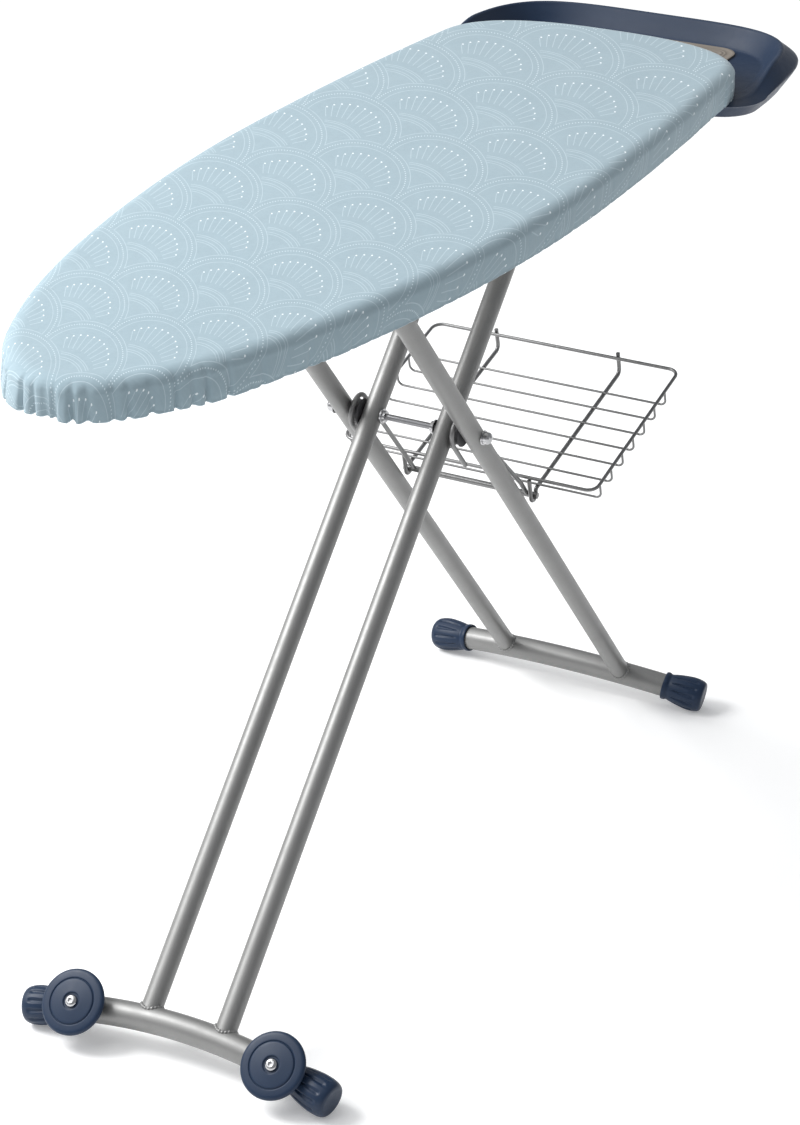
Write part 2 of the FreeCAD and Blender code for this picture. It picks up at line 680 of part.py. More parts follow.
def tray_screws():
    """Heads of the screws that hold the tray to its support tubes."""
    solids = []
    for along in (REAR_X - 60, REAR_X + SUPPORT_REACH - 25):
        for side in (1, -1):
            base = (along, side * SUPPORT_Y, SUPPORT_Z - SUPPORT_R - SEAT)
            solids.append(turned([(0, 4.5), (1.4, 4.5), (2.8, 2.5)], base, (0, 0, -1)))
    return Part.makeCompound(solids)


# Linen rack

def rack_point(along, y, above):
    """Place on the rack: along its slope from the front of the rim, and above the rim's plane."""
    bar_x, bar_z = rack_bar_place()
    tilt = math.radians(RACK_TILT)
    along, above = along - RIM_AHEAD, above + RIM_ABOVE
    return (bar_x + along * math.cos(tilt) - above * math.sin(tilt), y,
            bar_z + along * math.sin(tilt) + above * math.cos(tilt))


def rack_bar_place():
    """Middle of the rack's bar, behind the outer legs."""
    lean = math.radians(OUTER_ANGLE)
    x = PIVOT_X + RACK_BAR_DOWN * math.cos(lean) + RACK_BAR_BEHIND * math.sin(lean)
    z = PIVOT_Z - RACK_BAR_DOWN * math.sin(lean) + RACK_BAR_BEHIND * math.cos(lean)
    return x, z


def rack_bar():
    x, z = rack_bar_place()
    return across(x, z, -RACK_BAR_HALF, RACK_BAR_HALF, RACK_BAR_R)


def rack_hook(side):
    """Wire arm that hangs over the pivot's spacer and carries the rack's bar."""
    ring = SPACER_WAIST_R + HOOK_R + FREE
    behind = RACK_BAR_BEHIND
    y = side * (INNER_Y + OUTER_Y) / 2
    splay = side * (RUNNER_Y - RUNNER_R - HOOK_R - 3)
    stop = RACK_BAR_R + HOOK_R + SEAT
    points = [(-ring, y, -48), (-ring, y, ring), (ring, y, ring), (ring, y, -30),
              (behind, splay, -RACK_BAR_DOWN + stop + 24), (behind, splay, -RACK_BAR_DOWN + RACK_BAR_R + SEAT)]
    return outer(bent_wire(points, [ring - 1, ring - 1, 12, 12], HOOK_R))


def rack_rim():
    points = [rack_point(0, -RACK_HALF, 0), rack_point(RACK_DEPTH, -RACK_HALF, 0),
              rack_point(RACK_DEPTH, RACK_HALF, 0), rack_point(0, RACK_HALF, 0)]
    return bent_wire(points, [RACK_CORNER], RIM_R, closed=True)


def floor_wires():
    wires = []
    top = -RIM_R - SEAT
    for number in range(FLOOR_WIRES):
        along = FLOOR_FIRST + FLOOR_PITCH * number
        points = [rack_point(along, -RACK_HALF, top), rack_point(along, -RACK_HALF, -RACK_SINK),
                  rack_point(along, RACK_HALF, -RACK_SINK), rack_point(along, RACK_HALF, top)]
        wires.append(bent_wire(points, [8.0], FLOOR_R))
    return Part.makeCompound(wires)


def runners():
    """Stout wires under the floor, hooked round the bar at the front."""
    loop = RACK_BAR_R + RUNNER_R + RUNNER_PLAY
    below = -RACK_SINK - FLOOR_R - RUNNER_R - SEAT
    bottom = -RIM_ABOVE - loop
    tail = RACK_DEPTH + RIM_R + RUNNER_R + SEAT

    def runner(side):
        y = side * RUNNER_Y
        points = [rack_point(RIM_AHEAD - loop, y, -RIM_R - SEAT), rack_point(RIM_AHEAD - loop, y, bottom),
                  rack_point(RIM_AHEAD + loop, y, bottom), rack_point(RIM_AHEAD + loop, y, below),
                  rack_point(tail, y, below), rack_point(tail, y, 5)]
        return bent_wire(points, [loop - 0.01, loop - 0.01, 3.4, 8.0], RUNNER_R)
    return both_sides(runner)


# Height release

LEVER_X = REAR_X - LEVER_X_FROM_REAR
LEVER_Z = RAIL_BOTTOM - 6


def lever():
    """Flat lever; the inner end has a slot for the pull pin."""
    half = LEVER_WIDTH / 2
    arm = block((LEVER_X - half, LEVER_TIP_Y, LEVER_Z - PLATE), (LEVER_X + half, half, LEVER_Z))
    ends = [edge for edge in arm.Edges if abs(edge.tangentAt(edge.FirstParameter).z) > 0.9]
    arm = arm.makeFillet(half - 1, ends)
    slot = block((LEVER_X - PULL_PIN_R - FREE, -6, LEVER_Z - 10), (LEVER_X + PULL_PIN_R + FREE, 6, LEVER_Z + 10))
    return arm.cut(slot).cut(rod((LEVER_X, LEVER_PIN_Y, LEVER_Z - 10), (LEVER_X, LEVER_PIN_Y, LEVER_Z + 10),
                                 LEVER_PIN_R + RUN))


def lever_grip():
    """Plastic sleeve on the outer end of the lever."""
    half = LEVER_WIDTH / 2 + 3
    grip = block((LEVER_X - half, LEVER_TIP_Y - 4, LEVER_Z - PLATE - 4), (LEVER_X + half, LEVER_TIP_Y + 58, LEVER_Z + 4))
    grip = grip.makeFillet(3.4, grip.Edges)
    inside = block((LEVER_X - LEVER_WIDTH / 2 - SEAT, LEVER_TIP_Y - SEAT, LEVER_Z - PLATE - SEAT),
                   (LEVER_X + LEVER_WIDTH / 2 + SEAT, LEVER_TIP_Y + 60, LEVER_Z + SEAT))
    return grip.cut(inside)


def lever_bracket():
    """Plate that carries the lever's pin, hung from the rib beside it."""
    x1 = LEVER_X - LEVER_WIDTH / 2 - 14
    x2 = LEVER_X + LEVER_WIDTH / 2 + 4
    half = 12
    plate = block((x1, LEVER_PIN_Y - half, RAIL_BOTTOM - PLATE), (x2, LEVER_PIN_Y + half, RAIL_BOTTOM))
    return plate.cut(rod((LEVER_X, LEVER_PIN_Y, 0), (LEVER_X, LEVER_PIN_Y, WORK_HEIGHT), LEVER_PIN_R + SEAT))


def lever_pin():
    low = LEVER_Z - PLATE - FREE
    pin = rod((LEVER_X, LEVER_PIN_Y, low), (LEVER_X, LEVER_PIN_Y, RAIL_BOTTOM), LEVER_PIN_R)
    head = rod((LEVER_X, LEVER_PIN_Y, low - 2), (LEVER_X, LEVER_PIN_Y, low), LEVER_PIN_R + 3)
    return pin.fuse(head).removeSplitter()


def lock_strip():
    """Toothed strip above the sliding cross tube."""
    top = RAIL_BOTTOM - FREE
    bottom = top - 3
    front = FOLDED_SLIDE_X - 20
    rear = SLIDE_X + 30
    strip = block((front, -LOCK_WIDTH / 2, bottom), (rear, LOCK_WIDTH / 2, top))
    for number in range(LOCK_TEETH):
        x = SLIDE_X + SLIDE_TUBE_R + 2 - LOCK_PITCH * number
        corners = [V(x, -LOCK_WIDTH / 2, bottom), V(x + 9, -LOCK_WIDTH / 2, bottom),
                   V(x, -LOCK_WIDTH / 2, bottom - TOOTH_DEPTH)]
        tooth = Part.Face(Part.makePolygon(corners + corners[:1])).extrude(V(0, LOCK_WIDTH, 0))
        strip = strip.fuse(tooth)
    return strip.removeSplitter()


def pull_rod():
    """Rod from the lock strip to the lever, with a pin that stands in the lever's slot."""
    z = LEVER_Z + 2 + FREE
    start = SLIDE_X + 30 + SEAT
    bar = rod((start, 0, z), (LEVER_X, 0, z), 2.0)
    return bar.fuse(rod((LEVER_X, 0, LEVER_Z - PLATE - 3), (LEVER_X, 0, z), PULL_PIN_R)).removeSplitter()


def numbered_ribs():
    return {f"cross_rib_{number + 1}": rib(place) for number, place in enumerate(RIBS_FROM_REAR)}


SIDES = {"left": 1, "right": -1}


def sided(name, make):
    return {f"{name}_{word}": make(side) for word, side in SIDES.items()}


def pieces():
    """Every piece of the ironing board, by name."""
    return {
        "cover": cover(),
        "underlay_pad": underlay(),
        "mesh_top": mesh_top(),
        "perimeter_rail": perimeter_rail(),
        **numbered_ribs(),
        **sided("hinge_bracket", hinge_bracket),
        "hinge_axle": hinge_axle(),
        "hinge_axle_caps": axle_caps(),
        **sided("guide_rail", guide_rail),
        "iron_rest_tray": tray(),
        "iron_rest_mat": tray_mat(),
        **sided("tray_support", tray_support),
        "tray_saddles": tray_saddles(),
        "tray_screws": tray_screws(),
        "lever_bracket": lever_bracket(),
        "lever_pin": lever_pin(),
        **sided("inner_leg", inner_tube),
        "inner_leg_plugs": tube_plugs(INNER_Y, INNER_UPPER, inner),
        "front_foot_bar": front_bar(),
        **sided("front_cap", front_cap),
        "wheel_spacers": wheel_spacers(),
        **sided("wheel_screw", wheel_screw),
        **sided("wheel", wheel),
        **sided("outer_leg", outer_tube),
        "outer_leg_plugs": tube_plugs(OUTER_Y, OUTER_UPPER, outer),
        "rear_foot_bar": rear_bar(),
        **sided("rear_cap", rear_cap),
        "pivot_rod": pivot_rod(),
        "pivot_spacers": pivot_spacers(),
        "pivot_nuts": pivot_nuts(),
        "pivot_sleeves": pivot_sleeves(),
        "slide_tube": slide_tube(),
        **sided("slide_bush", slide_bush),
        "rack_bar": rack_bar(),
        **sided("rack_hook", rack_hook),
        "rack_rim": rack_rim(),
        "rack_floor_wires": floor_wires(),
        "rack_runners": runners(),
        "release_lever": lever(),
        "lever_grip": lever_grip(),
        "lock_strip": lock_strip(),
        "pull_rod": pull_rod(),
    }


os.makedirs("parts", exist_ok=True)
for name, shape in pieces().items():
    shape.exportStep(f"parts/{name}.step")
    print(f"{name:20s} solids {len(shape.Solids)}  valid {shape.isValid()}  volume {shape.Volume:12.1f}")
print(f"board hinge x {HINGE_X:.3f} z {AXIS_Z:.3f}, sliding tube x {SLIDE_X:.3f}, folded {FOLDED_SLIDE_X:.3f}")
print(f"scissor pivot x {PIVOT_X:.3f} z {PIVOT_Z:.3f}, rack bar x and z {rack_bar_place()}")
print(f"folded angles {FOLDED_ANGLE:.3f} and {FOLDED_OUTER:.3f}, lever x {LEVER_X:.3f}")
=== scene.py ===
"""Looks of the folding ironing board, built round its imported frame.

Lengths are in metres in the row frame: +X from the nose to the iron rest, +Z up.
"""
import json
import math

import bmesh
import bpy
import numpy as np
from mathutils import Matrix, Vector


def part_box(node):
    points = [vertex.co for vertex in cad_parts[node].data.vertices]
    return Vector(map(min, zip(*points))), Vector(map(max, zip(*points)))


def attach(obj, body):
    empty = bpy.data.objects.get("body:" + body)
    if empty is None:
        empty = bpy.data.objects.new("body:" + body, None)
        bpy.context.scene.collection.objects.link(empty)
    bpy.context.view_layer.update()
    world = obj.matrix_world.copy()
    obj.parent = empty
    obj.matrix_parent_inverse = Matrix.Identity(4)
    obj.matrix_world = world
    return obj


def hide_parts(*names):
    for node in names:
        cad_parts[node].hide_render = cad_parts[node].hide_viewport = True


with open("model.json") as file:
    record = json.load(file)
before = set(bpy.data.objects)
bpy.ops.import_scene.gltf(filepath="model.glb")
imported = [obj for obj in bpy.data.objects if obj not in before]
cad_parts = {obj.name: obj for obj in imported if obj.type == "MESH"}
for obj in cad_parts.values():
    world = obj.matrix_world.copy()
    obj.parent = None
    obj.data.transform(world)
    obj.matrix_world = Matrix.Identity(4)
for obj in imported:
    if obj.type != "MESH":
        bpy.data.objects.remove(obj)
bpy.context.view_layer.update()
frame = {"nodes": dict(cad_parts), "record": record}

# Board, as in the frame
WORK_HEIGHT = 0.927
BOARD_LENGTH = 1.346
HALF_BOARD = 0.229
WIDEST_FROM_REAR = 0.596
NOSE_POWER = 1.75
NOSE_ROUND = 2.1
REAR_TAPER = 0.0365
REAR_CORNER = 0.116
REAR_SQUARE = 2.6
SKIRT_DEPTH = 0.040
NOSE_X = -0.7515
REAR_X = NOSE_X + BOARD_LENGTH
MESH_TOP = 0.9208

# Cover
CLOTH_PROUD = 0.0010        # how far the cloth stands off the outline
EDGE_IN = 0.019             # rounded edge, across
EDGE_DOWN = 0.0125          # rounded edge, down
CLOTH_THICK = 0.0009
CLOTH_TOP = WORK_HEIGHT - 0.0006
HEM_TURN = 0.010            # hem drawn in under the board
SPINE_SHARE = 0.74          # length of the line the top's rings grow from, as a share of the board
COVER_COUNT = 1400          # points round the cover
UNDERLAY_COUNT = 700
MERGE = 0.00002             # points closer than this are one
FINE_MERGE = 0.000005       # the same, on small turned pieces

# Print on the cloth: steps of its repeat, in the plane of the board
FAN_CENTRE = Vector((-0.1770, -0.1288))
FAN_ALONG = Vector((0.203, 0.0144))
FAN_ACROSS = Vector((-0.084, -0.143))
FAN_RISE = 1.96             # the two steps in radii of a fan
FAN_PITCH = 1.853
FAN_GROWTH = 0.42           # growth of the fans per metre towards the rear

# Lines of one fan, in radii of the fan
OUTER_RING, OUTER_RING_HALF = 0.988, 0.0068
INNER_RING, INNER_RING_HALF = 0.81, 0.0062
BEADS_AT, BEAD_SIZE = 0.905, 0.0112
BEAD_STEP = math.radians(3.3)
RAY_CENTRE = 0.483          # the rays meet this far behind the fan's centre
RAY_STEP = math.radians(7.65)
RAYS_PER_SIDE = 5.0
RAYS_FROM = 0.667           # from where they meet
RAYS_TO = 0.62              # from the fan's centre
LINE_HALF = 0.0066
ARC_CENTRE = 0.71
ARCS = (0.744, 0.700, 0.618, 0.566)
ARC_SPREAD = 0.56           # half their angle, in radians
TIP_STEP = math.radians(13.2)
TIP_SIZE = 0.0165
THREAD_PITCH = 0.0007       # of the weave, in metres

# Leg frames
PIVOT = Vector((0.0085, 0.0, 0.587983))
INNER_ANGLE = 44.93
OUTER_ANGLE = 48.87
INNER_LOWER = 0.775185
OUTER_LOWER = 0.727595
INNER_Y = 0.0494
OUTER_Y = 0.088
TUBE_R = 0.0127
BAR_R = 0.016
FRONT_HALF = 0.203
FRONT_ARCH = 0.0283
REAR_HALF = 0.207
REAR_ARCH = 0.0256
CAP_LENGTH = 0.058
WHEEL_Y = 0.133
WHEEL_BACK = 0.0246
WHEEL_THICK = 0.008

# Iron rest
TRAY_RIM_Z = 0.910
TRAY_FLOOR_Z = 0.883
TRAY_FRONT_X = 0.4635
TRAY_LENGTH = 0.272
TRAY_HALF = 0.222
TRAY_SQUARE = 4.3
TRAY_TURN_X = 0.486         # front edge of the rim, under the board
TRAY_TURN_R = 0.050         # radius of its front corners
TRAY_LOW_X = 0.500          # the rim is low in front of this and rises to full height
TRAY_HIGH_X = 0.615         # by here
TRAY_LIP = 0.10             # share of the height that is left at the front
MAT_CORNER = 0.028


def paint(red, green, blue):
    """Linear colour of a display colour."""
    def linear(value):
        value = value / 255
        return value / 12.92 if value <= 0.04045 else ((value + 0.055) / 1.055) ** 2.4
    return (linear(red), linear(green), linear(blue), 1.0)


# Node helpers

class Nodes:
    """Short ways to add shader nodes to one material."""

    def __init__(self, name, **settings):
        self.material = bpy.data.materials.new(name)
        self.material.use_nodes = True
        self.tree = self.material.node_tree
        self.shader = self.tree.nodes["Principled BSDF"]
        for socket, value in settings.items():
            self.shader.inputs[socket.replace("_", " ")].default_value = value
        self.height = None

    def link(self, source, target):
        self.tree.links.new(source, target)

    def feed(self, node, index, value):
        if hasattr(value, "links"):
            self.link(value, node.inputs[index])
        elif value is not None:
            node.inputs[index].default_value = value

    def math(self, operation, *values):
        node = self.tree.nodes.new("ShaderNodeMath")
        node.operation = operation
        for index, value in enumerate(values):
            self.feed(node, index, value)
        return node.outputs[0]

    def choose(self, mask, off, on):
        node = self.tree.nodes.new("ShaderNodeMix")
        self.feed(node, 0, mask)
        self.feed(node, 2, off)
        self.feed(node, 3, on)
        return node.outputs[0]

    def mix(self, mask, off, on, blend="MIX"):
        node = self.tree.nodes.new("ShaderNodeMix")
        node.data_type = "RGBA"
        node.blend_type = blend
        self.feed(node, 0, mask)
        self.feed(node, 6, off)
        self.feed(node, 7, on)
        return node.outputs[2]

    def place(self, attribute=None):
        """Coordinates: a stored attribute, or the object's own space."""
        if attribute:
            node = self.tree.nodes.new("ShaderNodeAttribute")
            node.attribute_name = attribute
            return node.outputs["Vector"]
        return self.tree.nodes.new("ShaderNodeTexCoord").outputs["Object"]

    def split(self, vector):
        node = self.tree.nodes.new("ShaderNodeSeparateXYZ")
        self.link(vector, node.inputs[0])
        return node.outputs

    def noise(self, vector, scale, detail=3.0, rough=0.55, stretch=None):
        if stretch:
            node = self.tree.nodes.new("ShaderNodeMapping")
            node.inputs["Scale"].default_value = stretch
            self.link(vector, node.inputs["Vector"])
            vector = node.outputs[0]
        node = self.tree.nodes.new("ShaderNodeTexNoise")
        node.inputs["Scale"].default_value = scale
        node.inputs["Detail"].default_value = detail
        node.inputs["Roughness"].default_value = rough
        self.link(vector, node.inputs["Vector"])
        return node.outputs["Fac"]

    def cells(self, vector, scale):
        node = self.tree.nodes.new("ShaderNodeTexVoronoi")
        node.inputs["Scale"].default_value = scale
        self.link(vector, node.inputs["Vector"])
        return node.outputs["Distance"]

    def span(self, value, low, high, out_low=0.0, out_high=1.0):
        node = self.tree.nodes.new("ShaderNodeMapRange")
        for index, setting in enumerate((value, low, high, out_low, out_high)):
            self.feed(node, index, setting)
        return node.outputs[0]

    def bump(self, height, distance, strength=1.0):
        node = self.tree.nodes.new("ShaderNodeBump")
        node.inputs["Distance"].default_value = distance
        node.inputs["Strength"].default_value = strength
        self.link(height, node.inputs["Height"])
        if self.height is not None:
            self.link(self.height, node.inputs["Normal"])
        self.height = node.outputs[0]
        self.link(self.height, self.shader.inputs["Normal"])

    def colour(self, source):
        self.feed(self.shader, "Base Color", source)

    def rough(self, source):
        self.feed(self.shader, "Roughness", source)


def most(nodes, values):
    """Largest of several masks."""
    result = values[0]
    for value in values[1:]:
        result = nodes.math("MAXIMUM", result, value)
    return result


# Materials

def fan_masks(n):
    """Masks of the fine lines and of the bright dots of the fan print."""
    along, across, _ = n.split(n.place("print"))
    steps = n.math("DIVIDE", along, FAN_RISE / 2)
    row = n.math("FLOOR", steps)
    part = n.math("SUBTRACT", steps, row)
    odd = n.math("FLOORED_MODULO", row, 2.0)
    half = FAN_PITCH / 2

    def offset(shift):
        moved = n.math("MULTIPLY_ADD", shift, -half, across)
        return n.math("WRAP", moved, half, -half)

    def length(x, y):
        return n.math("SQRT", n.math("MULTIPLY_ADD", x, x, n.math("MULTIPLY", y, y)))

    near_x = n.math("MULTIPLY", part, FAN_RISE / 2)
    near_y = offset(odd)
    far_x = n.math("SUBTRACT", near_x, FAN_RISE / 2)
    far_y = offset(n.math("SUBTRACT", 1.0, odd))
    inside = n.math("LESS_THAN", length(near_x, near_y), 1.0)
    x = n.choose(inside, far_x, near_x)
    y = n.choose(inside, far_y, near_y)
    radius = length(x, y)
    angle = n.math("ARCTAN2", y, x)

    def on(value, target, half_wide):
        return n.math("COMPARE", value, target, half_wide)

    def whole_steps(turn, step, limit):
        count = n.math("ROUND", n.math("DIVIDE", turn, step))
        if limit is None:
            return count
        return n.math("MINIMUM", n.math("MAXIMUM", count, -limit), limit)

    def row_of_dots(step, limit, at, size):
        count = whole_steps(angle, step, limit)
        aside = n.math("MULTIPLY", n.math("MULTIPLY_ADD", count, -step, angle), at)
        return n.math("LESS_THAN", length(aside, n.math("SUBTRACT", radius, at)), size)

    outer_ring = on(radius, OUTER_RING, OUTER_RING_HALF)
    inner_ring = on(radius, INNER_RING, INNER_RING_HALF)
    beads = row_of_dots(BEAD_STEP, None, BEADS_AT, BEAD_SIZE)

    behind = n.math("ADD", x, RAY_CENTRE)
    reach = length(behind, y)
    sweep = n.math("ARCTAN2", y, behind)
    sweep = n.math("MULTIPLY", sweep, n.span(reach, 0.66, 1.1, 0.93, 1.0))
    number = whole_steps(sweep, RAY_STEP, RAYS_PER_SIDE)
    aside = n.math("MULTIPLY", n.math("MULTIPLY_ADD", number, -RAY_STEP, sweep), reach)
    rays = n.math("MULTIPLY", on(aside, 0.0, LINE_HALF), n.math("GREATER_THAN", reach, RAYS_FROM))
    rays = n.math("MULTIPLY", rays, n.math("LESS_THAN", radius, RAYS_TO))

    back = n.math("ADD", x, ARC_CENTRE)
    bow = length(back, y)
    arcs = most(n, [on(bow, at, LINE_HALF) for at in ARCS])
    arcs = n.math("MULTIPLY", arcs, on(n.math("ARCTAN2", y, back), 0.0, ARC_SPREAD))

    lines = most(n, [outer_ring, inner_ring, rays, arcs])
    tips = row_of_dots(TIP_STEP, RAYS_PER_SIDE, RAYS_TO, TIP_SIZE)
    return lines, beads, tips


def cover_cloth():
    n = Nodes("cover_cloth", Roughness=0.82, Sheen_Weight=0.25, Sheen_Roughness=0.45,
              Specular_IOR_Level=0.25)
    lines, beads, tips = fan_masks(n)
    cloth = n.place("cloth")
    tone = n.noise(cloth, 9.0, 2.0)
    base = n.mix(tone, paint(138, 159, 169), paint(147, 167, 176))
    slub = n.noise(cloth, 420.0, 2.0, stretch=(1.0, 0.16, 1.0))
    base = n.mix(n.math("MULTIPLY", slub, 0.14), base, paint(196, 212, 220))
    base = n.mix(n.math("MULTIPLY", lines, 0.36), base, paint(203, 219, 226))
    base = n.mix(n.math("MULTIPLY", beads, 0.62), base, paint(216, 230, 236))
    base = n.mix(n.math("MULTIPLY", tips, 0.80), base, paint(240, 247, 250))
    n.colour(base)
    u, v, _ = n.split(cloth)
    thread = 2 * math.pi / THREAD_PITCH
    weave = n.math("MULTIPLY", n.math("SINE", n.math("MULTIPLY", u, thread)),
                   n.math("SINE", n.math("MULTIPLY", v, thread)))
    n.bump(n.noise(cloth, 26.0, 3.0), 0.0030, 0.45)
    n.bump(n.math("MULTIPLY_ADD", weave, 0.5, slub), 0.00012, 0.35)
    return n.material


def felt():
    n = Nodes("felt", Roughness=0.95, Sheen_Weight=0.3)
    place = n.place()
    fibres = n.noise(place, 900.0, 4.0, stretch=(1.0, 0.3, 1.0))
    n.colour(n.mix(fibres, paint(196, 193, 186), paint(226, 224, 219)))
    n.bump(fibres, 0.0004, 0.6)
    return n.material


def metallic_paint(name, dark, light, rough, metal=0.55):
    """Silver grey powder coat with a fine fleck."""
    n = Nodes(name, Metallic=metal, Specular_IOR_Level=0.5, Coat_Weight=0.12, Coat_Roughness=0.3)
    place = n.place()
    fleck = n.noise(place, 2400.0, 2.0, 0.7)
    cloud = n.noise(place, 14.0, 3.0)
    n.colour(n.mix(n.math("MULTIPLY_ADD", fleck, 0.7, n.math("MULTIPLY", cloud, 0.3)), dark, light))
    n.rough(n.span(n.noise(place, 60.0, 3.0), 0.2, 0.8, rough - 0.05, rough + 0.07))
    n.bump(n.noise(place, 1500.0, 2.0), 0.00006, 0.5)
    return n.material


def moulded(name, low, high, rough, grain=1600.0, depth=0.00008):
    """Moulded plastic or rubber with a fine eroded grain and faint flow marks."""
    n = Nodes(name, Specular_IOR_Level=0.28)
    place = n.place()
    flow = n.noise(place, 22.0, 3.0, stretch=(1.0, 1.0, 2.5))
    n.colour(n.mix(flow, low, high))
    n.rough(n.span(n.noise(place, 90.0, 4.0), 0.25, 0.75, rough - 0.06, rough + 0.07))
    n.bump(n.cells(place, grain), depth, 0.5)
    return n.material


def bright_metal(name, tone, rough, brushed):
    n = Nodes(name, Metallic=1.0)
    place = n.place()
    scratch = n.noise(place, 700.0, 3.0, stretch=(1.0, brushed, 1.0))
    n.colour(n.mix(n.noise(place, 40.0, 2.0), tone, tuple(0.88 * c for c in tone[:3]) + (1.0,)))
    n.rough(n.span(scratch, 0.2, 0.8, rough * 0.7, rough * 1.4))
    n.bump(scratch, 0.00003, 0.3)
    return n.material


def board_steel():
    n = Nodes("board_steel", Metallic=0.1, Coat_Weight=0.1, Coat_Roughness=0.4)
    place = n.place()
    peel = n.noise(place, 500.0, 2.0)
    n.colour(n.mix(n.noise(place, 12.0, 3.0), paint(176, 178, 180), paint(196, 198, 200)))
    n.rough(n.span(peel, 0.2, 0.8, 0.38, 0.52))
    n.bump(peel, 0.0001, 0.4)
    return n.material


MATERIALS = {
    "cover_cloth": cover_cloth(),
    "felt": felt(),
    "board_steel": board_steel(),
    "leg_paint": metallic_paint("leg_paint", paint(108, 108, 107), paint(156, 156, 155), 0.46),
    "rack_wire": metallic_paint("rack_wire", paint(104, 104, 104), paint(142, 142, 142), 0.34, 0.65),
    "navy_plastic": moulded("navy_plastic", paint(25, 41, 63), paint(31, 48, 72), 0.40),
    "black_plastic": moulded("black_plastic", paint(58, 58, 60), paint(74, 74, 76), 0.48),
    "mat_rubber": moulded("mat_rubber", paint(114, 107, 99), paint(128, 121, 113), 0.7, 700.0, 0.0002),
    "chrome": bright_metal("chrome", (0.52, 0.52, 0.53, 1.0), 0.20, 1.0),
    "zinc": bright_metal("zinc", (0.27, 0.27, 0.28, 1.0), 0.36, 0.05),
}
SLOT_OF = {part["node"]: part["material_slot"] for part in frame["record"]["subparts"]}


def finish_with(piece, slot):
    piece.data.materials.clear()
    piece.data.materials.append(MATERIALS[slot])


def dress_frame():
    """Gives every carried-over part the procedural finish of its slot."""
    for name, node in frame["nodes"].items():
        finish_with(node, SLOT_OF[name])


# Mesh helpers

def make(name, vertices, faces, body, slot, nodes=(), smooth=True):
    """New piece that rides on a body, in place of the named nodes."""
    mesh = bpy.data.meshes.new(name)
    mesh.from_pydata([tuple(v) for v in vertices], [], [tuple(f) for f in faces])
    mesh.validate()
    mesh.update()
    if smooth:
        mesh.shade_smooth()
    piece = bpy.data.objects.new(name, mesh)
    bpy.context.scene.collection.objects.link(piece)
    finish_with(piece, slot)
    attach(piece, body)
    if nodes:
        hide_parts(*nodes)
    return piece


def grid_faces(rows, columns, closed=True, start=0):
    """Quads between rows of vertices; closed joins the last column to the first."""
    faces = []
    for row in range(rows - 1):
        for column in range(columns if closed else columns - 1):
            after = (column + 1) % columns
            a = start + row * columns + column
            b = start + row * columns + after
            faces.append((a, b, b + columns, a + columns))
    return faces


def turned(profile, count, shape=None):
    """Surface turned about Z from (height, radius) pairs, closed at both ends.

    shape(height, angle, radius) may change the radius.
    """
    vertices = []
    for height, radius in profile:
        for index in range(count):
            angle = 2 * math.pi * index / count
            r = shape(height, angle, radius) if shape else radius
            vertices.append(Vector((r * math.cos(angle), r * math.sin(angle), height)))
    faces = grid_faces(len(profile), count)
    for row, height in ((0, profile[0][0]), (len(profile) - 1, profile[-1][0])):
        centre = len(vertices)
        vertices.append(Vector((0, 0, height)))
        for index in range(count):
            a, b = row * count + index, row * count + (index + 1) % count
            faces.append((centre, b, a) if row == 0 else (centre, a, b))
    return vertices, faces


def smooth_profile(points, per_step=6):
    """Smooth line through (along, radius) points, sampled evenly."""
    result = []
    count = len(points)
    for index in range(count - 1):
        p0 = points[max(index - 1, 0)]
        p1, p2 = points[index], points[index + 1]
        p3 = points[min(index + 2, count - 1)]
        for step in range(per_step):
            t = step / per_step
            result.append(tuple(0.5 * (2 * p1[k] + (p2[k] - p0[k]) * t
                                       + (2 * p0[k] - 5 * p1[k] + 4 * p2[k] - p3[k]) * t * t
                                       + (3 * p1[k] - p0[k] - 3 * p2[k] + p3[k]) * t ** 3)
                                for k in range(2)))
    result.append(tuple(points[-1]))
    return result


def along_axis(base, axis):
    """Matrix that sets a shape turned about Z on a base point, along an axis."""
    return Matrix.Translation(base) @ Vector(axis).to_track_quat("Z", "Y").to_matrix().to_4x4()


def leg_frame(inner):
    """Matrix from the upright leg frame, pivot at zero, to the leaned legs."""
    angle = 90 - INNER_ANGLE if inner else OUTER_ANGLE - 90
    return Matrix.Translation(PIVOT) @ Matrix.Rotation(math.radians(angle), 4, "Y")


# Board

def half_width(x):
    widest = REAR_X - WIDEST_FROM_REAR
    if x < widest:
        share = min(1.0, (widest - x) / (widest - NOSE_X))
        return HALF_BOARD * (1 - share ** NOSE_POWER) ** (1 / NOSE_ROUND)
    width = HALF_BOARD - REAR_TAPER * ((x - widest) / WIDEST_FROM_REAR) ** 2
    share = min(1.0, max(0.0, (x - REAR_X + REAR_CORNER) / REAR_CORNER))
    return width * (1 - share ** REAR_SQUARE) ** (1 / REAR_SQUARE)


def evenly(closed, count):
    """Evenly spaced points along a closed line, and the line's length."""
    lengths = np.concatenate([[0], np.cumsum(np.linalg.norm(np.diff(closed, axis=0), axis=1))])
    at = np.linspace(0, lengths[-1], count, endpoint=False)
    return np.stack([np.interp(at, lengths, closed[:, k]) for k in range(2)], axis=1), lengths[-1]


def board_spine(points):
    """Point on the middle line of the board that each point of the outline grows from."""
    centre = (REAR_X + NOSE_X) / 2
    return np.stack([centre + SPINE_SHARE * (points[:, 0] - centre), np.zeros(len(points))], axis=1)


